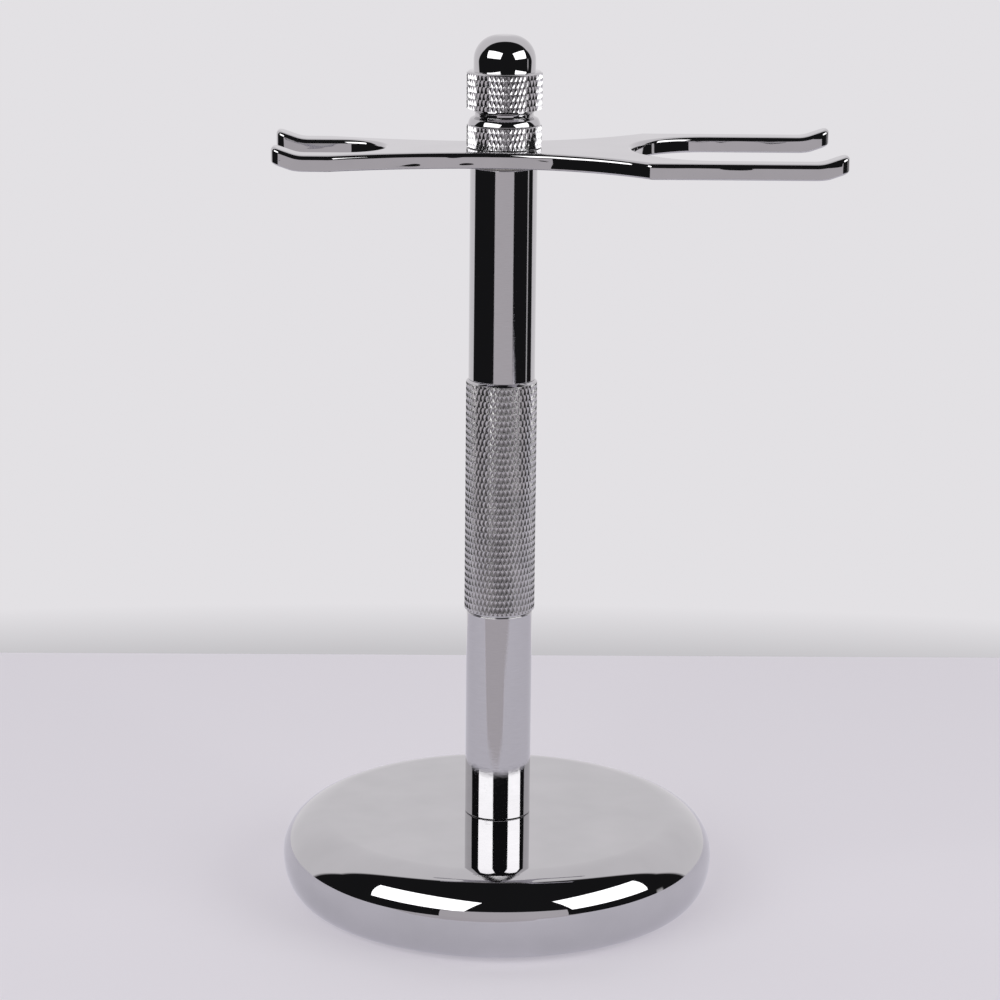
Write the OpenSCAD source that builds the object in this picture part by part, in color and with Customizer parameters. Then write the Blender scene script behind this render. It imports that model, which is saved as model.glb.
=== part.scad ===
// Shaving stand: weighted round base, three-part column with a knurled grip,
// a two-ended fork that holds a razor and a brush, and a knob that clamps it.
// Millimetres. Origin at the centre of the underside, +Z up, brush end along +X.

/* [Base] */
// Diameter of the base
base_d = 80; // [70:1:95]
// Height of the base's flat top above the table
base_h = 16; // [15:0.5:22]
// Horizontal reach of the rounded top shoulder
shoulder_w = 8.2; // [5:0.2:10]
// Horizontal reach of the rounded lower edge
heel_w = 4.4; // [3:0.2:5]
// Diameter of the soft pad under the base
pad_d = 66; // [58:1:68]
// Thickness of the soft pad
pad_t = 1.6; // [1.2:0.1:2.4]
// How far the pad stands out below the metal
pad_proud = 0.8; // [0.5:0.1:1]

/* [Column] */
// Diameter of the two smooth column tubes
tube_d = 12.1; // [11.6:0.1:13]
// Bore of the column tubes
tube_bore_d = 10; // [9.6:0.1:10.2]
// Length of the lower tube
lower_len = 39; // [34:1:60]
// Length of the knurled grip
grip_len = 43.6; // [36:1:60]
// Length of the upper tube
upper_len = 38.8; // [34:1:60]
// Diameter over the knurl of the grip
grip_d = 12.9; // [12.5:0.1:14]

/* [Fork] */
// Thickness of the fork plate
fork_t = 2.9; // [2:0.1:3.5]
// Distance from the column's axis to the tips that hold the brush
brush_reach = 59.8; // [52:0.2:66]
// Distance from the column's axis to the tips that hold the razor
razor_reach = 41; // [38:0.2:48]
// Width of the slot for the brush
brush_slot_w = 29; // [24:0.5:31]
// Width of the slot for the razor
razor_slot_w = 15.4; // [12:0.2:17]
// Width of each brush prong
brush_prong_w = 4.5; // [3.5:0.1:6]
// Width of each razor prong
razor_prong_w = 5.1; // [4:0.1:6]
// Distance from the axis to the inner end of the brush slot
brush_slot_start = 22.9; // [21:0.1:26]
// Distance from the axis to the inner end of the razor slot
razor_slot_start = 21.3; // [20:0.1:24]
// Half width of the plate at its waist
waist_half = 7.7; // [7:0.1:9]
// Angle that the tips are turned up by
tip_angle = 19; // [0:1:30]

/* [Knob] */
// Diameter over the knurl of the clamp collar
collar_d = 13.4; // [12.4:0.1:15]
// Height of the clamp collar
collar_len = 4.1; // [3.6:0.1:6]
// Diameter over the knurl of the knob
knob_d = 13.5; // [12.4:0.1:15]
// Diameter of the dome
dome_d = 11.1; // [10:0.1:12]
// Height of the neck between collar and knurled band
neck_len = 2.7; // [2:0.1:4]
// Height of the knurled band
band_len = 6.7; // [5:0.1:9]
// Height of the dome
dome_len = 6.4; // [5.5:0.1:8]

/* [Threads] */
// Outside diameter of the stud in the base
base_stud_d = 6; // [5:0.5:6]
// How much of that stud stands in the column
base_stud_reach = 13.6; // [12:0.1:15]
// Outside diameter of the stud in the knob
knob_stud_d = 5; // [4:0.5:5]
// How much of that stud is screwed into the column
knob_stud_reach = 10; // [8:0.5:12]
// Radial clearance of each running thread or bore
clearance = 0.06; // [0.03:0.01:0.1]

/* [Hidden] */

chrome = [0.80, 0.80, 0.82];
steel = [0.62, 0.63, 0.65];
brass = [0.80, 0.66, 0.36];
iron = [0.25, 0.25, 0.27];
eva = [0.06, 0.06, 0.07];
nylon = [0.90, 0.90, 0.86];

round_fn = 96;        // segments of the turned parts
gap = 0.05;           // gap between faces that turn on each other
tube_bevel = 0.15;    // chamfer on the ends of the tubes
collar_bevel = 0.25;  // chamfer on the ends of the clamp collar

// levels along the axis
lower_z = base_h + gap;
grip_z = base_h + lower_len;
upper_z = grip_z + grip_len;
washer_t = 0.5;
washer_z = upper_z + upper_len;
fork_z = washer_z + washer_t + gap;
fork_top = fork_z + fork_t;
collar_z = fork_top + gap;
neck_z = collar_z + collar_len;
band_z = neck_z + neck_len;
dome_z = band_z + band_len;
top_z = dome_z + dome_len;

// inside the base
wall = 3.5;
cavity_z = base_h - wall;
cavity_r = base_d / 2 - heel_w - 3;
boss_r = 9.5;
pocket_z = 7;
pocket_r = 13;
shoulder_r = 4.5;
shoulder_t = 1.2;

// inside the column
insert_len = 14;
coupling_len = 12;
spigot_r = 4;
spigot_top = fork_top - 0.2;
recess = 1;
tube_r = tube_d / 2;
tube_bore_r = tube_bore_d / 2;
top_insert_z = spigot_top - 18;

// points of an elliptical quarter, from angle a0 to a1
function arc(cx, cy, rx, ry, a0, a1, n = 12) =
    [for (i = [0:n]) let (a = a0 + (a1 - a0) * i / n) [cx + rx * cos(a), cy + ry * sin(a)]];

// a straight ring
module ring(r_out, r_in, z, h) {
    translate([0, 0, z])
        difference() {
            cylinder(r = r_out, h = h, $fn = round_fn);
            translate([0, 0, -1]) cylinder(r = r_in, h = h + 2, $fn = round_fn);
        }
}

// a turned sleeve with small chamfers at both ends
module sleeve(r_out, r_in, z, h, c) {
    rotate_extrude($fn = round_fn)
        polygon([[r_in, z], [r_out - c, z], [r_out, z + c], [r_out, z + h - c],
                 [r_out - c, z + h], [r_in, z + h]]);
}

// a hexagonal ring, across-flats width af
module hex_nut(af, r_in, z, h) {
    translate([0, 0, z])
        difference() {
            cylinder(d = af / cos(30), h = h, $fn = 6);
            translate([0, 0, -1]) cylinder(r = r_in, h = h + 2, $fn = round_fn);
        }
}

// ---- base ----
module base_outline() {
    edge_z = (base_h + pad_proud) / 2;
    half_h = edge_z - pad_proud;
    r = base_d / 2;
    polygon(concat([[0, pad_proud]],
                   arc(r - heel_w, edge_z, heel_w, half_h, -90, 0),
                   arc(r - shoulder_w, edge_z, shoulder_w, half_h, 6, 90),
                   [[0, base_h]]));
}

module base_shell() {
    color(chrome)
        difference() {
            rotate_extrude($fn = round_fn) base_outline();
            cylinder(d = pad_d, h = pad_t, $fn = round_fn);
            difference() {
                cylinder(r = cavity_r, h = cavity_z, $fn = round_fn);
                translate([0, 0, pocket_z]) cylinder(r = boss_r, h = base_h, $fn = round_fn);
            }
            cylinder(d = base_stud_d + 0.4, h = base_h, $fn = round_fn);
            translate([0, 0, base_h - shoulder_t])
                cylinder(r = shoulder_r + 0.1, h = base_h, $fn = round_fn);
        }
}

module ballast_disc() {
    color(iron)
        difference() {
            translate([0, 0, pad_t + 0.4])
                cylinder(r = cavity_r - 0.3, h = cavity_z - pad_t - 0.4, $fn = round_fn);
            cylinder(r = boss_r + 0.4, h = base_h, $fn = round_fn);
            cylinder(r = pocket_r, h = pocket_z, $fn = round_fn);
        }
}

module base_stud() {
    low = pad_t + 0.2;
    color(steel) {
        translate([0, 0, low])
            cylinder(d = base_stud_d, h = base_h - shoulder_t - low, $fn = round_fn);
        translate([0, 0, base_h - shoulder_t])
            cylinder(r = shoulder_r, h = shoulder_t, $fn = round_fn);
        translate([0, 0, base_h])
            cylinder(d = base_stud_d, h = base_stud_reach - 0.6, $fn = round_fn);
        translate([0, 0, base_h + base_stud_reach - 0.6])
            cylinder(d1 = base_stud_d, d2 = base_stud_d - 1.2, h = 0.6, $fn = round_fn);
    }
}

module clamp_washer() { color(steel) ring(12, base_stud_d / 2 + 0.2, pocket_z - 1, 1); }
module spring_washer() {
    color(steel)
        difference() {
            ring(5.4, base_stud_d / 2 + 0.1, pocket_z - 2.2, 1.2);
            translate([2, -0.4, pocket_z - 3]) cube([5, 0.8, 3]);
        }
}
module stud_nut() { color(steel) hex_nut(10, base_stud_d / 2 + 0.02, pocket_z - 5, 2.8); }
module base_pad() { color(eva) cylinder(d = pad_d - 0.4, h = pad_t, $fn = round_fn); }

// ---- column ----
module foot_washer() {
    color(nylon) ring(tube_bore_r - 0.15, base_stud_d / 2 + 0.15, lower_z, recess - 0.1);
}
module lower_tube() { color(chrome) sleeve(tube_r, tube_bore_r, lower_z, lower_len - gap, tube_bevel); }
module foot_insert() {
    color(brass) ring(tube_bore_r, base_stud_d / 2 + clearance, lower_z + recess, insert_len);
}

// plug pressed into a tube at z, with a stub of height stub_h beyond it
module coupling(z, h, stub_z, stub_h) {
    color(brass) {
        translate([0, 0, z]) cylinder(r = tube_bore_r, h = h, $fn = round_fn);
        translate([0, 0, stub_z]) cylinder(r = spigot_r, h = stub_h, $fn = round_fn);
    }
}
module lower_coupling() { coupling(grip_z - coupling_len, coupling_len, grip_z, coupling_len); }
module upper_coupling() { coupling(upper_z, coupling_len, upper_z - coupling_len, coupling_len); }

module grip() {
    r = grip_d / 2;
    neck = tube_r - 0.25;
    color(chrome)
        rotate_extrude($fn = round_fn)
            polygon([[spigot_r, grip_z], [neck, grip_z], [neck, grip_z + 0.35],
                     [r, grip_z + 0.6], [r, upper_z - 0.4], [tube_r, upper_z],
                     [spigot_r, upper_z]]);
}

module upper_tube() { color(chrome) sleeve(tube_r, tube_bore_r, upper_z, upper_len, tube_bevel); }
module top_insert() {
    color(brass)
        difference() {
            union() {
                translate([0, 0, top_insert_z])
                    cylinder(r = tube_bore_r, h = washer_z - top_insert_z, $fn = round_fn);
                translate([0, 0, washer_z])
                    cylinder(r = spigot_r, h = spigot_top - washer_z, $fn = round_fn);
            }
            translate([0, 0, top_insert_z - 1])
                cylinder(d = knob_stud_d + 2 * clearance, h = 30, $fn = round_fn);
        }
}
module bearing_washer() { color(nylon) ring(tube_r - 0.3, spigot_r + 0.1, washer_z, washer_t); }

// ---- fork ----
// The edge of the waist from its narrowest point to a straight side at half width w,
// as one arc that leaves the narrowest point along X.
function waist_side(x0, w, run, dir, n = 14) =
    let (rise = w - waist_half, r = (run * run + rise * rise) / (2 * rise))
    [for (i = [0:n]) let (dx = run * i / n) [x0 + dir * dx, waist_half + r - sqrt(r * r - dx * dx)]];

waist_x = -3;         // where the plate is narrowest
brush_corner = 25.4;  // where the waist meets the brush prongs
razor_corner = -31;   // where the waist meets the razor prongs
tip_round = 1.6;      // plan radius of the tips' outer corners
tip_round_in = 1.7;   // plan radius of the tips' inner corners

brush_half = brush_slot_w / 2 + brush_prong_w;
razor_half = razor_slot_w / 2 + razor_prong_w;
waist_right = waist_side(waist_x, brush_half, brush_corner - waist_x, 1);
waist_left = waist_side(waist_x, razor_half, waist_x - razor_corner, -1);

// upper half of the plate's outline, from the brush tips to the razor tips
half_edge = concat([[brush_reach, brush_half]],
                   [for (i = [len(waist_right) - 1:-1:1]) waist_right[i]],
                   waist_left,
                   [[-razor_reach, razor_half]]);

// what a rounded corner at (x, y) loses, with the metal towards (sx, sy)
module corner_cut(x, y, r, sx, sy) {
    translate([x, y])
        mirror([sx < 0 ? 1 : 0, 0])
            mirror([0, sy < 0 ? 1 : 0])
                difference() {
                    translate([-1, -1]) square(r + 1);
                    translate([r, r]) circle(r = r, $fn = 32);
                }
}

// one slot and the rounding of its two prong ends; dir is 1 towards the brush
module slot_cut(w, start, reach, half, dir) {
    c = start + w / 2;
    translate([dir * c, 0]) circle(d = w, $fn = round_fn);
    translate([dir > 0 ? c : -reach - 1, -w / 2]) square([reach + 1 - c, w]);
    for (s = [-1, 1]) {
        corner_cut(dir * reach, s * half, tip_round, -dir, -s);
        corner_cut(dir * reach, s * w / 2, tip_round_in, -dir, s);
    }
}

module fork_plan() {
    last = len(half_edge) - 1;
    difference() {
        polygon(concat(half_edge, [for (i = [last:-1:0]) [half_edge[i][0], -half_edge[i][1]]]));
        slot_cut(brush_slot_w, brush_slot_start, brush_reach, brush_half, 1);
        slot_cut(razor_slot_w, razor_slot_start, razor_reach, razor_half, -1);
    }
}

// side view of the plate: flat, with both ends turned up on a radius
bend_r = 7;           // inside radius of each bend
bend_run = 5.8;       // length of each turned-up end

function turned_up(reach, dir) =
    let (x0 = reach - bend_run, a = tip_angle,
         straight = (bend_run - (bend_r + fork_t) * sin(a)) / cos(a) + 1)
    concat([for (i = [0:6]) let (b = a * i / 6)
                [dir * (x0 + (bend_r + fork_t) * sin(b)), (bend_r + fork_t) * (1 - cos(b))]],
           [[dir * (x0 + (bend_r + fork_t) * sin(a) + straight * cos(a)),
             (bend_r + fork_t) * (1 - cos(a)) + straight * sin(a)],
            [dir * (x0 + bend_r * sin(a) + straight * cos(a)),
             fork_t + bend_r * (1 - cos(a)) + straight * sin(a)]],
           [for (i = [6:-1:0]) let (b = a * i / 6)
                [dir * (x0 + bend_r * sin(b)), fork_t + bend_r * (1 - cos(b))]]);

module fork_side() {
    left = turned_up(razor_reach, -1);
    polygon(concat(turned_up(brush_reach, 1), [for (i = [len(left) - 1:-1:0]) left[i]]));
}

module fork_plate() {
    color(chrome)
        translate([0, 0, fork_z])
            difference() {
                intersection() {
                    translate([0, 0, -1]) linear_extrude(height = 9) fork_plan();
                    rotate([90, 0, 0])
                        translate([0, 0, -30]) linear_extrude(height = 60) fork_side();
                }
                translate([0, 0, -1]) cylinder(r = spigot_r + clearance, h = fork_t + 2, $fn = round_fn);
            }
}

// ---- knob ----
module wave_washer() {
    color(steel) ring(4.9, knob_stud_d / 2 + 0.2, collar_z, 0.5);
}

module knob_collar() {
    r = collar_d / 2;
    color(chrome)
        difference() {
            sleeve(r, knob_stud_d / 2, collar_z, collar_len, collar_bevel);
            translate([0, 0, collar_z - 1]) cylinder(r = 5.1, h = 1.7, $fn = round_fn);
        }
}

// outline of the knob from its flared foot to the top of the dome
module knob_outline() {
    r = knob_d / 2;
    dome_r = dome_d / 2;
    crown_r = 4.4;
    neck_r = dome_r - 0.28;
    polygon(concat(
        [[0, neck_z], [r - 0.3, neck_z]],
        arc(r - 2.91, neck_z - 0.456, 2.67, 2.67, 12, 33, 5),
        arc(r - 0.97, neck_z + 0.81, 0.35, 0.35, 33, 60, 3),
        [[neck_r, neck_z + 1.46], [neck_r, band_z - 0.6], [neck_r + 0.3, band_z - 0.4],
         [r - 0.3, band_z + 0.05], [r, band_z + 0.3], [r, dome_z - 0.35], [r - 0.35, dome_z],
         [dome_r, dome_z]],
        arc(dome_r - crown_r, top_z - crown_r, crown_r, crown_r, 0, 90),
        [[0, top_z]]));
}

module knob() {
    color(chrome)
        difference() {
            rotate_extrude($fn = round_fn) knob_outline();
            translate([0, 0, neck_z - 1]) cylinder(d = knob_stud_d, h = 7, $fn = round_fn);
        }
}

module knob_stud() {
    low = spigot_top - knob_stud_reach;
    color(steel) {
        translate([0, 0, low]) cylinder(d1 = knob_stud_d - 1, d2 = knob_stud_d, h = 0.5, $fn = round_fn);
        translate([0, 0, low + 0.5])
            cylinder(d = knob_stud_d, h = neck_z + 6 - low - 0.5, $fn = round_fn);
    }
}

base_shell();
ballast_disc();
base_stud();
clamp_washer();
spring_washer();
stud_nut();
base_pad();
foot_washer();
lower_tube();
foot_insert();
lower_coupling();
grip();
upper_coupling();
upper_tube();
top_insert();
bearing_washer();
fork_plate();
wave_washer();
knob();
knob_collar();
knob_stud();
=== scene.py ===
import math
import bpy
import bmesh
from mathutils import Matrix, Vector


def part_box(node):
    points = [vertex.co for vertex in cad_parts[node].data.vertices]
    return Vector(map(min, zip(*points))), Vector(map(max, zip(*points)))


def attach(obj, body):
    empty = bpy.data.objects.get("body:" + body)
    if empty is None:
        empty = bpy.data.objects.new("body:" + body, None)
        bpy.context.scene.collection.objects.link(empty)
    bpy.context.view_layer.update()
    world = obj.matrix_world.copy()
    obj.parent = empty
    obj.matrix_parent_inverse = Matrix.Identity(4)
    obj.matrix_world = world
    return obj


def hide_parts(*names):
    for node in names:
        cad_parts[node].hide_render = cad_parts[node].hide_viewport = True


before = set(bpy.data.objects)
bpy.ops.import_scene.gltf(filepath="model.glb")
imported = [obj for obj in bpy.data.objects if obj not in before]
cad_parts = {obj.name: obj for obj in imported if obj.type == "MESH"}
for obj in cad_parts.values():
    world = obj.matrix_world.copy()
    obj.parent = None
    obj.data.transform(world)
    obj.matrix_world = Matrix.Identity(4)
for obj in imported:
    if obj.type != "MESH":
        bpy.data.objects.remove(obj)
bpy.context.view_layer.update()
mm = 0.001  # sizes below are in millimetres
up = (0, 0, 1)
weld = 1e-7  # points closer than this, in metres, are one
near = 1e-6  # levels closer than this, in metres, are the same


# lowest level, highest level and radius of a round node
def cadLevels(node):
    low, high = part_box(node)
    return low.z / mm, high.z / mm, (high.y - low.y) / 2 / mm


def arc(cx, cz, rx, rz, fromDeg, toDeg, steps):
    turns = [math.radians(fromDeg + (toDeg - fromDeg) * i / steps) for i in range(steps + 1)]
    return [(cx + rx * math.cos(a), cz + rz * math.sin(a)) for a in turns]


# turns a list of (radius, height) round the column's axis
def lathe(profile, steps, closed=False, bevelWidth=0.0, bevelSegments=3):
    bm = bmesh.new()
    verts = [bm.verts.new((r * mm, 0, z * mm)) for r, z in profile]
    edges = [bm.edges.new(pair) for pair in zip(verts, verts[1:])]
    if closed:
        edges.append(bm.edges.new((verts[-1], verts[0])))
    bmesh.ops.spin(bm, geom=verts + edges, cent=(0, 0, 0), axis=up, angle=2 * math.pi,
                   steps=steps, use_merge=True)
    bmesh.ops.remove_doubles(bm, verts=bm.verts, dist=weld)
    bmesh.ops.recalc_face_normals(bm, faces=bm.faces)
    if bevelWidth:
        softenEdges(bm, bevelWidth, bevelSegments)
    return bm


def softenEdges(bm, width, segments, minAngle=28):
    sharp = [e for e in bm.edges if len(e.link_faces) == 2
             and e.calc_face_angle(0) > math.radians(minAngle)]
    bmesh.ops.bevel(bm, geom=sharp, offset=width * mm, segments=segments, profile=0.5,
                    affect="EDGES", clamp_overlap=True, material=-1)


def addPiece(name, bm, body, material, replaced=(), weighted=True):
    mesh = bpy.data.meshes.new(name)
    bm.to_mesh(mesh)
    bm.free()
    for face in mesh.polygons:
        face.use_smooth = weighted
    obj = bpy.data.objects.new(name, mesh)
    bpy.context.scene.collection.objects.link(obj)
    obj.data.materials.append(material)
    if weighted:
        keep = obj.modifiers.new("normals", "WEIGHTED_NORMAL")
        keep.weight = 100
    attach(obj, body)
    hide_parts(*replaced)


# adds the mesh of other to bm, as a shell of its own
def joinInto(bm, other):
    spare = bpy.data.meshes.new("spare")
    other.to_mesh(spare)
    other.free()
    bm.from_mesh(spare)
    bpy.data.meshes.remove(spare)
    return bm


# slow waves and fine grain, the marks that every finish shares
def surfaceGroup():
    group = bpy.data.node_groups.new("surfaceMarks", "ShaderNodeTree")
    face = group.interface
    for label, default in (("Wave Scale", 60.0), ("Grain Scale", 1500.0), ("Stretch", 1.0)):
        sock = face.new_socket(name=label, in_out="INPUT", socket_type="NodeSocketFloat")
        sock.default_value = default
    for label in ("Wave", "Grain", "Height"):
        face.new_socket(name=label, in_out="OUTPUT", socket_type="NodeSocketFloat")
    nodes, links = group.nodes, group.links
    inn = nodes.new("NodeGroupInput")
    out = nodes.new("NodeGroupOutput")
    coords = nodes.new("ShaderNodeTexCoord")
    squash = nodes.new("ShaderNodeCombineXYZ")
    squash.inputs[0].default_value = 1
    squash.inputs[1].default_value = 1
    links.new(inn.outputs["Stretch"], squash.inputs[2])
    scaled = nodes.new("ShaderNodeVectorMath")
    scaled.operation = "MULTIPLY"
    links.new(coords.outputs["Object"], scaled.inputs[0])
    links.new(squash.outputs[0], scaled.inputs[1])
    wave = nodes.new("ShaderNodeTexNoise")
    wave.inputs["Detail"].default_value = 2
    grain = nodes.new("ShaderNodeTexNoise")
    grain.inputs["Detail"].default_value = 3
    for tex, label in ((wave, "Wave Scale"), (grain, "Grain Scale")):
        links.new(scaled.outputs[0], tex.inputs["Vector"])
        links.new(inn.outputs[label], tex.inputs["Scale"])
    mix = nodes.new("ShaderNodeMath")
    mix.operation = "MULTIPLY_ADD"
    mix.inputs[1].default_value = 0.12  # share of the grain in the height
    links.new(grain.outputs["Fac"], mix.inputs[0])
    links.new(wave.outputs["Fac"], mix.inputs[2])
    links.new(wave.outputs["Fac"], out.inputs["Wave"])
    links.new(grain.outputs["Fac"], out.inputs["Grain"])
    links.new(mix.outputs[0], out.inputs["Height"])
    return group


marks = surfaceGroup()


def finish(name, dark, light, rough, metallic=1.0, wave=60.0, grain=1500.0, stretch=1.0,
           bump=0.1, bumpDepth=0.00002, drive="Wave"):
    mat = bpy.data.materials.new(name)
    mat.use_nodes = True
    nodes, links = mat.node_tree.nodes, mat.node_tree.links
    shader = nodes["Principled BSDF"]
    shader.inputs["Metallic"].default_value = metallic
    shared = nodes.new("ShaderNodeGroup")
    shared.node_tree = marks
    shared.inputs["Wave Scale"].default_value = wave
    shared.inputs["Grain Scale"].default_value = grain
    shared.inputs["Stretch"].default_value = stretch
    tone = nodes.new("ShaderNodeValToRGB")
    tone.color_ramp.elements[0].position = 0.3
    tone.color_ramp.elements[0].color = (*dark, 1)
    tone.color_ramp.elements[1].position = 0.7
    tone.color_ramp.elements[1].color = (*light, 1)
    links.new(shared.outputs[drive], tone.inputs["Fac"])
    links.new(tone.outputs["Color"], shader.inputs["Base Color"])
    span = nodes.new("ShaderNodeMapRange")
    span.inputs["From Min"].default_value = 0.3
    span.inputs["From Max"].default_value = 0.7
    span.inputs["To Min"].default_value = rough[0]
    span.inputs["To Max"].default_value = rough[1]
    links.new(shared.outputs["Grain"], span.inputs["Value"])
    links.new(span.outputs["Result"], shader.inputs["Roughness"])
    relief = nodes.new("ShaderNodeBump")
    relief.inputs["Strength"].default_value = bump
    relief.inputs["Distance"].default_value = bumpDepth
    links.new(shared.outputs["Height"], relief.inputs["Height"])
    links.new(relief.outputs["Normal"], shader.inputs["Normal"])
    return mat


# shallow lumps on the steep faces only, where a plate's edges were polished by hand
def handPolish(mat, size, depth):
    nodes, links = mat.node_tree.nodes, mat.node_tree.links
    coords = nodes.new("ShaderNodeTexCoord")
    place = nodes.new("ShaderNodeVectorMath")
    place.operation = "MULTIPLY"
    place.inputs[1].default_value = size
    links.new(coords.outputs["Object"], place.inputs[0])
    lumps = nodes.new("ShaderNodeTexNoise")
    lumps.inputs["Scale"].default_value = 1
    lumps.inputs["Detail"].default_value = 1
    links.new(place.outputs[0], lumps.inputs["Vector"])
    facing = nodes.new("ShaderNodeSeparateXYZ")
    links.new(coords.outputs["Normal"], facing.inputs[0])
    steep = nodes.new("ShaderNodeMath")
    steep.operation = "ABSOLUTE"
    links.new(facing.outputs[2], steep.inputs[0])
    onEdge = nodes.new("ShaderNodeMapRange")
    for label, value in (("From Min", 0.45), ("From Max", 0.85), ("To Min", 1), ("To Max", 0)):
        onEdge.inputs[label].default_value = value
    links.new(steep.outputs[0], onEdge.inputs["Value"])
    bump = nodes.new("ShaderNodeBump")
    bump.inputs["Distance"].default_value = depth
    links.new(onEdge.outputs["Result"], bump.inputs["Strength"])
    links.new(lumps.outputs["Fac"], bump.inputs["Height"])
    fine = next(n for n in nodes if n.type == "BUMP" and n != bump)
    links.new(bump.outputs["Normal"], fine.inputs["Normal"])


chromeDark = (0.535, 0.53, 0.54)
chromeLight = (0.575, 0.568, 0.58)
finishes = {
    "casting": finish("chromeCasting", chromeDark, chromeLight, (0.012, 0.03), wave=90),
    "tube": finish("chromeTube", chromeDark, chromeLight, (0.015, 0.05), wave=500, grain=3000,
                   stretch=30, bump=0.12),
    "turned": finish("chromeTurned", chromeDark, chromeLight, (0.012, 0.03), wave=120, stretch=0.25),
    "plate": finish("chromePlate", chromeDark, chromeLight, (0.012, 0.035), wave=140),
    "knurl": finish("chromeKnurl", (0.56, 0.555, 0.565), (0.68, 0.675, 0.685), (0.08, 0.2),
                    wave=300, grain=4000),
    "gripKnurl": finish("satinKnurl", (0.48, 0.475, 0.48), (0.58, 0.57, 0.575), (0.12, 0.24),
                        wave=300, grain=4000, bump=0.3),
    "brass": finish("turnedBrass", (0.62, 0.44, 0.18), (0.78, 0.60, 0.28), (0.22, 0.40),
                    wave=200, grain=2500, stretch=12, bump=0.35),
    "steel": finish("zincSteel", (0.42, 0.43, 0.44), (0.60, 0.61, 0.60), (0.25, 0.45),
                    wave=350, grain=2500, bump=0.25),
    "iron": finish("castIron", (0.035, 0.034, 0.036), (0.09, 0.088, 0.085), (0.55, 0.8),
                   metallic=0.7, wave=900, grain=3500, bump=0.8, bumpDepth=0.00008, drive="Height"),
    "foam": finish("foamPad", (0.010, 0.010, 0.011), (0.030, 0.030, 0.032), (0.75, 0.95),
                   metallic=0.0, wave=1800, grain=6000, bump=0.9, bumpDepth=0.00006, drive="Grain"),
    "nylon": finish("nylon", (0.68, 0.67, 0.62), (0.80, 0.79, 0.74), (0.35, 0.5),
                    metallic=0.0, wave=300, grain=3000, bump=0.15),
}
handPolish(finishes["plate"], (90, 90, 380), 0.0002)
print("finishes ready:", len(finishes))


base = {"shoulder": 8.2, "heel": 4.4, "padRecess": 33.0, "padThick": 1.6, "padRim": 0.25,
        "cavity": 32.6, "wall": 3.5, "boss": 9.5, "bossLow": 7.0, "hole": 3.2,
        "shoulderHole": 4.6, "shoulderDeep": 1.2, "steps": 256, "padSteps": 128}


def buildBase():
    low, high, r = cadLevels("base_shell")
    mid = (low + high) / 2
    half = (high - low) / 2
    ceiling = high - base["wall"]
    seat = high - base["shoulderDeep"]
    profile = [(base["hole"], seat), (base["shoulderHole"], seat), (base["shoulderHole"], high)]
    profile += arc(r - base["shoulder"], mid, base["shoulder"], half, 90, 0, 40)
    profile += arc(r - base["heel"], mid, base["heel"], half, 0, -90, 28)[1:]
    profile += [(base["padRecess"], low), (base["padRecess"], base["padThick"]),
                (base["cavity"], base["padThick"]), (base["cavity"], ceiling),
                (base["boss"], ceiling), (base["boss"], base["bossLow"]),
                (base["hole"], base["bossLow"])]
    bm = lathe(profile, base["steps"], closed=True)
    addPiece("baseShell", bm, "base", finishes["casting"], ["base_shell"])
    low, high, r = cadLevels("base_pad")
    rim = base["padRim"]
    bm = lathe([(0, low), (r - rim, low), (r, low + rim), (r, high), (0, high)], base["padSteps"])
    addPiece("footPad", bm, "base", finishes["foam"], ["base_pad"])


buildBase()
print("base built")


# depth, flank and crest are in pitches
thread = {"depth": 0.61, "flank": 0.44, "crest": 0.06, "sunk": 0.08, "endChamfer": 0.3,
          "stepsPerTurn": 40, "rodSteps": 96}


def threadedRod(r, low, high, pitch):
    root = r - thread["depth"] * pitch
    cut = thread["endChamfer"]
    bm = lathe([(0, low), (root - cut, low), (root, low + cut), (root, high - cut),
                (root - cut, high), (0, high)], thread["rodSteps"])
    ridge = bmesh.new()
    half = thread["flank"] * pitch
    crest = thread["crest"] * pitch
    foot = root - thread["sunk"]  # the ridge's foot lies inside the rod
    threadLow, threadHigh = low + cut, high - cut
    z = threadLow + half
    corners = [(foot, z - half), (r, z - crest), (r, z + crest), (foot, z + half)]
    verts = [ridge.verts.new((a * mm, 0, b * mm)) for a, b in corners]
    first = ridge.faces.new(verts)
    turns = (threadHigh - threadLow - 2 * half) / pitch
    steps = max(1, round(turns * thread["stepsPerTurn"]))
    edges = list(first.edges)
    ring = bmesh.ops.spin(ridge, geom=verts + edges, cent=(0, 0, 0), axis=up,
                          angle=2 * math.pi * turns, steps=steps,
                          dvec=(0, 0, turns * pitch * mm / steps), use_duplicate=False)
    last = [v for v in ring["geom_last"] if isinstance(v, bmesh.types.BMVert)]
    bmesh.ops.contextual_create(ridge, geom=last + [e for e in ring["geom_last"]
                                                     if isinstance(e, bmesh.types.BMEdge)])
    bmesh.ops.recalc_face_normals(ridge, faces=ridge.faces)
    return joinInto(bm, ridge)


baseStud = {"r": 3.0, "pitch": 1.0, "shoulderLow": 14.8, "shoulderHigh": 16.0, "shoulderR": 4.5,
            "soften": 0.15}
knobStud = {"pitch": 0.8}


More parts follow.
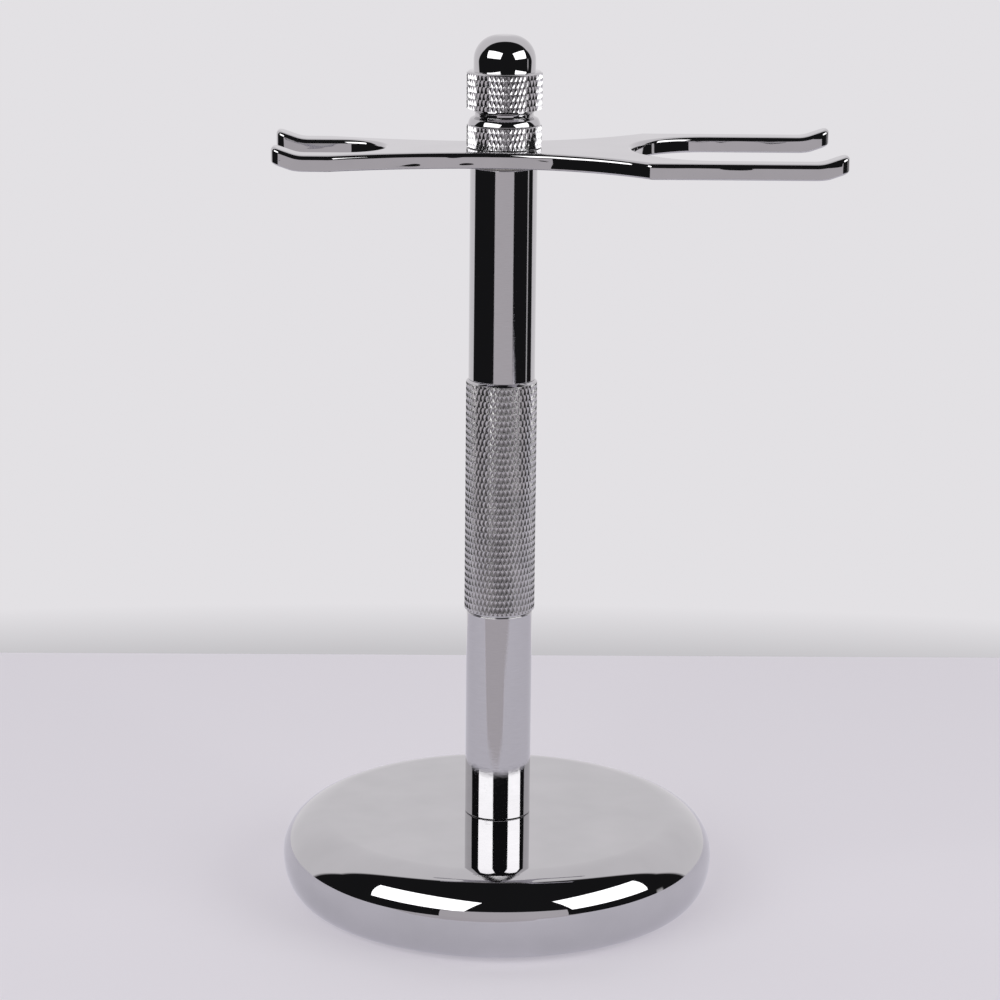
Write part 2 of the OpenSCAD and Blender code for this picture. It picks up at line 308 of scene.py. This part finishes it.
def buildStuds():
    low, high, _ = cadLevels("base_stud")
    bm = threadedRod(baseStud["r"], low, high, baseStud["pitch"])
    shoulderR = baseStud["shoulderR"]
    under, over = baseStud["shoulderLow"], baseStud["shoulderHigh"]
    shoulder = lathe([(0, under), (shoulderR, under), (shoulderR, over), (0, over)],
                     thread["rodSteps"], bevelWidth=baseStud["soften"], bevelSegments=2)
    bm = joinInto(bm, shoulder)
    addPiece("baseStud", bm, "base", finishes["steel"], ["base_stud"])
    low, high, r = cadLevels("knob_stud")
    bm = threadedRod(r, low, high, knobStud["pitch"])
    addPiece("knobStud", bm, "knob", finishes["steel"], ["knob_stud"])


buildStuds()
print("studs built")


tube = {"steps": 192, "bore": 5.0, "rim": 0.18}


def buildTube(name, node):
    low, high, r = cadLevels(node)
    bm = lathe([(tube["bore"], low), (r, low), (r, high), (tube["bore"], high)], tube["steps"],
               closed=True, bevelWidth=tube["rim"])
    addPiece(name, bm, "column", finishes["tube"], [node])


buildTube("lowerTube", "lower_tube")
buildTube("upperTube", "upper_tube")
print("tubes built")


# open edges at one level
def ringLoop(bm, z):
    return [e for e in bm.edges if e.is_boundary and abs(e.verts[0].co.z - z * mm) < near
            and abs(e.verts[1].co.z - z * mm) < near]


# a lattice of diamonds from a poked grid, each one raised to a flat-topped pyramid
def knurlSleeve(r, low, high, style):
    valley = r - style["depth"]
    rows = math.ceil((high - low) / style["row"]) + 1
    bm = bmesh.new()
    bmesh.ops.create_cone(bm, cap_ends=False, segments=style["teeth"], radius1=valley * mm,
                          radius2=valley * mm, depth=rows * style["row"] * mm)
    bmesh.ops.translate(bm, verts=bm.verts, vec=(0, 0, (low + high) / 2 * mm))
    upright = [e for e in bm.edges if abs(e.verts[0].co.z - e.verts[1].co.z) > near]
    bmesh.ops.subdivide_edges(bm, edges=upright, cuts=rows - 1, use_grid_fill=True)
    grid = [e for e in bm.edges if not e.is_boundary]
    bmesh.ops.poke(bm, faces=bm.faces)
    for v in bm.verts:
        v.co.xy = v.co.xy.normalized() * valley * mm
    bmesh.ops.dissolve_edges(bm, edges=grid, use_verts=False)
    bmesh.ops.inset_individual(bm, faces=bm.faces[:], thickness=style["flank"] * mm,
                               depth=style["depth"] * mm, use_even_offset=True)
    for z, normal in ((low, (0, 0, -1)), (high, (0, 0, 1))):
        bmesh.ops.bisect_plane(bm, geom=bm.verts[:] + bm.edges[:] + bm.faces[:], dist=weld,
                               plane_co=(0, 0, z * mm), plane_no=normal, clear_outer=True)
    for z in (low, high):
        grown = bmesh.ops.extrude_edge_only(bm, edges=ringLoop(bm, z))["geom"]
        for v in [g for g in grown if isinstance(g, bmesh.types.BMVert)]:
            v.co.xy = v.co.xy.normalized() * (valley - style["under"]) * mm
    bmesh.ops.bridge_loops(bm, edges=[e for e in bm.edges if e.is_boundary])
    bmesh.ops.remove_doubles(bm, verts=bm.verts, dist=weld)
    bmesh.ops.recalc_face_normals(bm, faces=bm.faces)
    return bm


inset = {"gap": 0.005, "behind": 0.01}  # clearance between a sleeve and the recess it lies in
gripKnurl = {"teeth": 47, "row": 2.32, "depth": 0.22, "flank": 0.25, "under": 0.35}
grip = {"bore": 4.0, "groove": 5.8, "grooveHigh": 0.35, "footRim": 0.15, "footIn": 0.3,
        "rimHigh": 0.1, "rimIn": 0.2, "headChamfer": 0.4, "headRim": 0.05, "soften": 0.05,
        "steps": 192}


# radius of the plain recess behind a knurled sleeve
def recessFor(r, style):
    return r - style["depth"] - style["under"] - inset["behind"]


def buildGrip():
    low, high, r = cadLevels("grip")
    recess = recessFor(r, gripKnurl)
    head = high - grip["headChamfer"]
    foot = low + grip["grooveHigh"] + grip["footRim"]
    rim = head - grip["headRim"]
    tubeR = cadLevels("upper_tube")[2]
    core = [(grip["bore"], low), (grip["groove"], low), (grip["groove"], low + grip["grooveHigh"]),
            (r - grip["footIn"], foot - grip["rimHigh"]), (r - grip["rimIn"], foot), (recess, foot),
            (recess, rim), (r, rim), (r, head), (tubeR, high), (grip["bore"], high)]
    bm = lathe(core, grip["steps"], closed=True, bevelWidth=grip["soften"], bevelSegments=2)
    addPiece("gripCore", bm, "column", finishes["turned"], ["grip"])
    bm = knurlSleeve(r, foot + inset["gap"], rim - inset["gap"], gripKnurl)
    addPiece("gripKnurl", bm, "column", finishes["gripKnurl"], weighted=False)


buildGrip()
print("grip built")


knobKnurl = {"teeth": 50, "row": 2.3, "depth": 0.26, "flank": 0.26, "under": 0.35}
knob = {"neckR": 5.27, "crown": 4.4, "neck": 2.7, "band": 6.7, "domeR": 5.55, "footIn": 0.3,
        "shoulderR": 2.67, "shoulderIn": 2.91, "shoulderDrop": 0.456, "lipR": 0.35, "lipIn": 0.97,
        "lipRise": 0.81, "neckLow": 1.46, "flareHigh": 0.6, "flareOut": 0.3, "flareRun": 0.2,
        "bandEdge": 0.12, "bandTop": 0.3, "rimIn": 0.04, "rimHigh": 0.05, "headIn": 0.35,
        "soften": 0.05, "studR": 2.5, "studDeep": 6.0, "steps": 192}
collar = {"footIn": 0.2, "edgeIn": 0.12, "footHigh": 0.12, "headHigh": 0.22, "headIn": 0.35,
          "recessR": 5.1, "recessDeep": 0.7, "soften": 0.04}


def buildKnob():
    low, high, r = cadLevels("knob")
    domeR, crown, neckR = knob["domeR"], knob["crown"], knob["neckR"]
    bandLow = low + knob["neck"]
    domeLow = bandLow + knob["band"]
    recess = recessFor(r, knobKnurl)
    foot, head = bandLow + knob["bandEdge"], domeLow - knob["bandTop"]
    flare = bandLow - knob["flareHigh"]
    profile = [(knob["studR"], low), (r - knob["footIn"], low)]
    profile += arc(r - knob["shoulderIn"], low - knob["shoulderDrop"], knob["shoulderR"],
                   knob["shoulderR"], 12, 33, 12)
    profile += arc(r - knob["lipIn"], low + knob["lipRise"], knob["lipR"], knob["lipR"], 34, 58, 6)
    profile += [(neckR, low + knob["neckLow"]), (neckR, flare),
                (neckR + knob["flareOut"], flare + knob["flareRun"]),
                (r - knob["footIn"], foot), (recess, foot), (recess, head),
                (r - knob["rimIn"], head), (r - knob["rimIn"], head + knob["rimHigh"]),
                (r - knob["headIn"], domeLow), (domeR, domeLow)]
    profile += arc(domeR - crown, high - crown, crown, crown, 0, 90, 24)
    profile += [(0, high), (0, low + knob["studDeep"]), (knob["studR"], low + knob["studDeep"])]
    bm = lathe(profile, knob["steps"], closed=True, bevelWidth=knob["soften"], bevelSegments=2)
    addPiece("knobBody", bm, "knob", finishes["turned"], ["knob"])
    bm = knurlSleeve(r, foot + inset["gap"], head - inset["gap"], knobKnurl)
    addPiece("knobKnurl", bm, "knob", finishes["knurl"], weighted=False)


def buildCollar():
    low, high, r = cadLevels("knob_collar")
    foot, head = low + collar["footHigh"], high - collar["headHigh"]
    recess = recessFor(r, knobKnurl)
    ceiling = low + collar["recessDeep"]
    profile = [(collar["recessR"], low), (r - collar["footIn"], low), (r - collar["edgeIn"], foot),
               (recess, foot), (recess, head), (r - collar["edgeIn"], head),
               (r - collar["headIn"], high), (knob["studR"], high), (knob["studR"], ceiling),
               (collar["recessR"], ceiling)]
    bm = lathe(profile, knob["steps"], closed=True, bevelWidth=collar["soften"], bevelSegments=2)
    addPiece("collarCore", bm, "knob", finishes["turned"], ["knob_collar"])
    bm = knurlSleeve(r, foot + inset["gap"], head - inset["gap"], knobKnurl)
    addPiece("collarKnurl", bm, "knob", finishes["knurl"], weighted=False)


buildKnob()
buildCollar()
print("knob and collar built")


fork = {"waistX": -3.0, "waistHalf": 7.7, "brushCorner": 25.4, "razorCorner": -31.0,
        "brushSlot": 29.0, "razorSlot": 15.4, "brushStart": 22.9, "razorStart": 21.3,
        "razorProng": 5.1, "tipOuter": 1.6, "tipInner": 1.7, "boreR": 4.06, "thick": 2.9,
        "bendRun": 5.8, "bendRadius": 7.0, "bendDeg": 19.0, "bendCuts": 8, "bendPitch": 0.35,
        "topEdge": 0.8, "lowEdge": 0.4, "edgeSegments": 5, "arcSteps": 28, "outerSteps": 8,
        "innerSteps": 6, "boreSteps": 96}


def chainTo(bm, last, x, y):
    new = bm.verts.new((x * mm, y * mm, 0))
    bm.edges.new((last, new))
    return new


def chainArc(bm, last, cx, cy, degrees, steps):
    made = bmesh.ops.spin(bm, geom=[last], cent=(cx * mm, cy * mm, 0), axis=up,
                          angle=math.radians(degrees), steps=steps, use_duplicate=False)
    return [g for g in made["geom_last"] if isinstance(g, bmesh.types.BMVert)][0]


# radius and sweep of the arc from the waist to a corner
def waistArc(half, run):
    rise = half - fork["waistHalf"]
    radius = (run * run + rise * rise) / (2 * rise)
    return radius, math.degrees(math.asin(run / radius))


def halfOutline(bm, brushReach, brushHalf, razorReach, razorHalf):
    r1, r2 = fork["tipOuter"], fork["tipInner"]
    slotR = fork["brushSlot"] / 2
    centre = fork["brushStart"] + slotR
    v = bm.verts.new((fork["brushStart"] * mm, 0, 0))
    v = chainArc(bm, v, centre, 0, -90, fork["arcSteps"])
    v = chainTo(bm, v, brushReach - r2, slotR)
    v = chainArc(bm, v, brushReach - r2, slotR + r2, 90, fork["innerSteps"])
    v = chainTo(bm, v, brushReach, brushHalf - r1)
    v = chainArc(bm, v, brushReach - r1, brushHalf - r1, 90, fork["outerSteps"])
    v = chainTo(bm, v, fork["brushCorner"], brushHalf)
    radius, sweep = waistArc(brushHalf, fork["brushCorner"] - fork["waistX"])
    v = chainArc(bm, v, fork["waistX"], fork["waistHalf"] + radius, -sweep, fork["arcSteps"])
    radius, sweep = waistArc(razorHalf, fork["waistX"] - fork["razorCorner"])
    v = chainArc(bm, v, fork["waistX"], fork["waistHalf"] + radius, -sweep, fork["arcSteps"])
    v = chainTo(bm, v, -razorReach + r1, razorHalf)
    v = chainArc(bm, v, -razorReach + r1, razorHalf - r1, 90, fork["outerSteps"])
    slotR = fork["razorSlot"] / 2
    v = chainTo(bm, v, -razorReach, slotR + r2)
    v = chainArc(bm, v, -razorReach + r2, slotR + r2, 90, fork["innerSteps"])
    centre = fork["razorStart"] + slotR
    v = chainTo(bm, v, -centre, slotR)
    chainArc(bm, v, -centre, 0, -90, fork["arcSteps"])


# lifts a point of the tip along an arc, then a slope, at even thickness
def turnUp(v, start, side):
    beyond = side * v.co.x / mm - start
    if beyond <= 0:
        return
    full = math.radians(fork["bendDeg"])
    turn = min(full, math.asin(min(1, beyond / fork["bendRadius"])))
    rest = max(0, beyond - fork["bendRadius"] * math.sin(full))
    rise = fork["bendRadius"] * (1 - math.cos(turn)) + rest * math.tan(full)
    below = fork["thick"] - v.co.z / mm
    v.co.z = (fork["thick"] + rise - below / math.cos(turn)) * mm


def buildFork():
    low, high = (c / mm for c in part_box("fork_plate"))
    brushReach, razorReach, brushHalf = high.x, -low.x, high.y
    razorHalf = fork["razorSlot"] / 2 + fork["razorProng"]
    bm = bmesh.new()
    halfOutline(bm, brushReach, brushHalf, razorReach, razorHalf)
    bmesh.ops.mirror(bm, geom=bm.verts[:] + bm.edges[:], axis="Y", merge_dist=weld)
    bmesh.ops.remove_doubles(bm, verts=bm.verts, dist=weld)
    bmesh.ops.create_circle(bm, cap_ends=False, radius=fork["boreR"] * mm,
                            segments=fork["boreSteps"])
    bmesh.ops.triangle_fill(bm, edges=bm.edges, use_beauty=True, normal=up)
    top = bmesh.ops.extrude_face_region(bm, geom=bm.faces[:])["geom"]
    bmesh.ops.translate(bm, verts=[g for g in top if isinstance(g, bmesh.types.BMVert)],
                        vec=(0, 0, fork["thick"] * mm))
    bmesh.ops.recalc_face_normals(bm, faces=bm.faces)
    bmesh.ops.dissolve_limit(bm, angle_limit=0.002, verts=bm.verts, edges=bm.edges)
    for z, width in ((fork["thick"], fork["topEdge"]), (0, fork["lowEdge"])):
        rim = [e for e in bm.edges if e.calc_face_angle(0) > 1
               and all(abs(v.co.z - z * mm) < weld for v in e.verts)]
        bmesh.ops.bevel(bm, geom=rim, offset=width * mm, segments=fork["edgeSegments"],
                        profile=0.5, affect="EDGES", clamp_overlap=False, material=-1)
    for sign, reach in ((1, brushReach), (-1, razorReach)):
        start = reach - fork["bendRun"]
        for i in range(fork["bendCuts"]):
            x = sign * (start + i * fork["bendPitch"]) * mm
            bmesh.ops.bisect_plane(bm, geom=bm.verts[:] + bm.edges[:] + bm.faces[:], dist=weld,
                                   plane_co=(x, 0, 0), plane_no=(1, 0, 0))
    for v in bm.verts:
        turnUp(v, brushReach - fork["bendRun"], 1)
        turnUp(v, razorReach - fork["bendRun"], -1)
    bmesh.ops.translate(bm, verts=bm.verts, vec=(0, 0, low.z * mm))
    bmesh.ops.recalc_face_normals(bm, faces=bm.faces)
    addPiece("forkPlate", bm, "fork", finishes["plate"], ["fork_plate"])


buildFork()
print("fork built")


hiddenParts = {"ballast_disc": "iron", "clamp_washer": "steel", "spring_washer": "steel",
               "stud_nut": "steel", "foot_washer": "nylon", "foot_insert": "brass",
               "lower_coupling": "brass", "upper_coupling": "brass", "top_insert": "brass",
               "bearing_washer": "nylon", "wave_washer": "steel"}
for node, kind in hiddenParts.items():
    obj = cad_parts[node]
    obj.data.materials.clear()
    obj.data.materials.append(finishes[kind])
print("inner parts finished:", len(hiddenParts))


# places in metres
studio = {"back": 0.153, "cardBack": -0.36, "cardLow": 0.001, "cardHigh": 0.114,
          "cardLeft": -0.20, "cardRight": 0.25, "frontShadeHigh": 0.0002,
          "cloth": (0.50, 0.49, 0.51), "clothSeen": (0.35, 0.332, 0.365),
          # the last glow on the next line is painted shade: the table in front of the stand made
          # darker, in reflections only
          "clothMirrored": (0.38, 0.367, 0.42), "frontShadeSheet": (0.60, 0.565, 0.60),
          "card": (0.62, 0.59, 0.62), "backTone": (0.84, 0.82, 0.845),
          "skyTone": (0.767, 0.752, 0.776), "darkTone": (0.012, 0.012, 0.013),
          # the tone on the next line is painted shade, a darker band in the backdrop where the table
          # ends
          "edgeShadeTone": (0.56, 0.55, 0.57)}


# a flat sheet with one glow for the camera and another for what mirrors it
def stageSheet(name, corners, tone, seen, mirrored):
    bm = bmesh.new()
    bm.faces.new([bm.verts.new(c) for c in corners])
    mesh = bpy.data.meshes.new(name)
    bm.to_mesh(mesh)
    bm.free()
    sheet = bpy.data.objects.new(name, mesh)
    bpy.context.scene.collection.objects.link(sheet)
    mat = bpy.data.materials.new(name)
    mat.use_nodes = True
    nodes, links = mat.node_tree.nodes, mat.node_tree.links
    shader = nodes["Principled BSDF"]
    shader.inputs["Base Color"].default_value = (*tone, 1)
    shader.inputs["Roughness"].default_value = 0.8
    shader.inputs["Specular IOR Level"].default_value = 0.0
    shader.inputs["Emission Strength"].default_value = 1.0
    path = nodes.new("ShaderNodeLightPath")
    mix = nodes.new("ShaderNodeMix")
    mix.data_type = "RGBA"
    mix.inputs["A"].default_value = (*mirrored, 1)
    mix.inputs["B"].default_value = (*seen, 1)
    links.new(path.outputs["Is Camera Ray"], mix.inputs["Factor"])
    links.new(mix.outputs["Result"], shader.inputs["Emission Color"])
    mesh.materials.append(mat)
    return sheet


def unseenSheet(name, corners, glow):
    sheet = stageSheet(name, corners, (0, 0, 0), glow, glow)
    sheet.visible_camera = False
    sheet.visible_shadow = False


def buildTable():
    back = studio["back"]
    cloth = [(-0.19, -0.40), (0.32, -0.40), (0.32, back), (-0.34, back), (-0.33, 0.0),
             (-0.25, -0.07), (-0.20, -0.14)]
    stageSheet("table", [(x, y, 0) for x, y in cloth], studio["cloth"], studio["clothSeen"],
               studio["clothMirrored"])
    # the front shade sheet and the card are what the chrome mirrors from in front of the table; the
    # sheet's darker glow is painted shade on the table's front
    # painted shade: a darker glowing sheet over the table in front of the stand, which the camera never
    # sees
    frontShadeSheet = [(-0.24, -0.9), (0.36, -0.9), (0.30, -0.36), (0.15, -0.175), (0.045, -0.14),
             (0.026, -0.10), (0.0, -0.085), (-0.06, -0.08), (-0.12, -0.11), (-0.20, -0.14)]
    unseenSheet("frontShadeSheet", [(x, y, studio["frontShadeHigh"]) for x, y in frontShadeSheet], studio["frontShadeSheet"])
    left, right, depth = studio["cardLeft"], studio["cardRight"], studio["cardBack"]
    low, high = studio["cardLow"], studio["cardHigh"]
    unseenSheet("card", [(left, depth, low), (right, depth, low), (right, depth, high),
                         (left, depth, high)], studio["card"])


# each range is low, high, value at low, value at high
room = {"tilt": 0.03, "edge": (-0.25, 0.5, 0.48, 0.21), "edgeBlur": (-0.02, 0.02, 0, 1),
        "sliverY": 0.06, "sliverWide": (0.03, 0.05, 1, 0), "sliverX": (0.4, 0.5, 0, 1),
        "sliverHigh": (0.0, 0.1, 0.7, 0), "edgeShadeTop": (-0.288, -0.2745, 0, 1),
        "edgeShadeFoot": (-0.3, -0.292, 1, 0)}


# a pale wall behind, a dark room in front and a soft line of painted shade where the table ends
def buildWorld():
    world = bpy.data.worlds.new("studio")
    bpy.context.scene.world = world
    world.use_nodes = True
    nodes, links = world.node_tree.nodes, world.node_tree.links
    nodes.clear()
    coords = nodes.new("ShaderNodeTexCoord")
    split = nodes.new("ShaderNodeSeparateXYZ")
    links.new(coords.outputs["Generated"], split.inputs[0])
    x, y, z = split.outputs

    def ramp(source, span):
        node = nodes.new("ShaderNodeMapRange")
        for label, value in zip(("From Min", "From Max", "To Min", "To Max"), span):
            node.inputs[label].default_value = value
        links.new(source, node.inputs["Value"])
        return node.outputs["Result"]

    def compute(operation, a, b):
        node = nodes.new("ShaderNodeMath")
        node.operation = operation
        for sock, value in zip(node.inputs, (a, b)):
            if isinstance(value, float):
                sock.default_value = value
            else:
                links.new(value, sock)
        return node.outputs[0]

    def blendTone(factor, a, b):
        node = nodes.new("ShaderNodeMix")
        node.data_type = "RGBA"
        links.new(factor, node.inputs["Factor"])
        for sock, value in ((node.inputs["A"], a), (node.inputs["B"], b)):
            if isinstance(value, tuple):
                sock.default_value = (*value, 1)
            else:
                links.new(value, sock)
        return node.outputs["Result"]

    slant = compute("SUBTRACT", y, compute("MULTIPLY", x, room["tilt"]))
    edge = ramp(z, room["edge"])
    behind = ramp(compute("SUBTRACT", slant, edge), room["edgeBlur"])
    aside = compute("ABSOLUTE", compute("SUBTRACT", y, room["sliverY"]), 0.0)
    ends = compute("MULTIPLY", ramp(x, room["sliverX"]), ramp(z, room["sliverHigh"]))
    sliver = compute("MULTIPLY", ramp(aside, room["sliverWide"]), ends)
    tone = blendTone(compute("MAXIMUM", behind, sliver), studio["darkTone"], studio["backTone"])
    # painted shade: the camera sees a soft darker band just past the table's far edge
    seen = compute("MAXIMUM", ramp(z, room["edgeShadeTop"]), ramp(z, room["edgeShadeFoot"]))
    shown = blendTone(seen, studio["edgeShadeTone"], studio["skyTone"])
    path = nodes.new("ShaderNodeLightPath")
    final = blendTone(path.outputs["Is Camera Ray"], tone, shown)
    light = nodes.new("ShaderNodeBackground")
    links.new(final, light.inputs["Color"])
    out = nodes.new("ShaderNodeOutputWorld")
    links.new(light.outputs[0], out.inputs["Surface"])


lamps = {"aim": (0, 0, 0.03), "away": 1.4, "strength": 2.7}
softboxes = {"left": {"azimuth": -44.0, "elevation": 31.5, "width": 1.36, "height": 0.76},
             "right": {"azimuth": 62, "elevation": 27.5, "width": 1.22, "height": 0.74}}


def buildLights():
    target = Vector(lamps["aim"])
    for name, box in softboxes.items():
        az, el = math.radians(box["azimuth"]), math.radians(box["elevation"])
        away = Vector((math.sin(az) * math.cos(el), -math.cos(az) * math.cos(el), math.sin(el)))
        data = bpy.data.lights.new(name + "Softbox", "AREA")
        data.shape = "RECTANGLE"
        data.size, data.size_y = box["width"], box["height"]
        data.energy = lamps["strength"] * math.pi * box["width"] * box["height"]
        lamp = bpy.data.objects.new(name + "Softbox", data)
        lamp.location = target + away * lamps["away"]
        lamp.rotation_euler = away.to_track_quat("Z", "Y").to_euler()
        lamp.visible_camera = False
        bpy.context.scene.collection.objects.link(lamp)


# angles in radians
camera = {"place": (-0.0105, -0.6025, 0.2281), "yaw": 0.0173, "pitch": 0.2475, "roll": -0.0101,
          "lens": 122.2, "sensor": 36, "farthest": 20}


def buildCamera():
    data = bpy.data.cameras.new("camera")
    data.lens = camera["lens"]
    data.sensor_width = camera["sensor"]
    data.clip_end = camera["farthest"]
    cam = bpy.data.objects.new("camera", data)
    yaw, pitch = camera["yaw"], camera["pitch"]
    ahead = Vector((math.sin(yaw) * math.cos(pitch), math.cos(yaw) * math.cos(pitch), -math.sin(pitch)))
    turn = (-ahead).to_track_quat("Z", "Y").to_matrix().to_4x4()
    spin = Matrix.Rotation(-camera["roll"], 4, "Z")
    cam.matrix_world = Matrix.Translation(camera["place"]) @ turn @ spin
    bpy.context.scene.collection.objects.link(cam)
    bpy.context.scene.camera = cam


buildTable()
buildWorld()
buildLights()
buildCamera()
bpy.context.scene.view_settings.view_transform = "Standard"
print("studio ready")
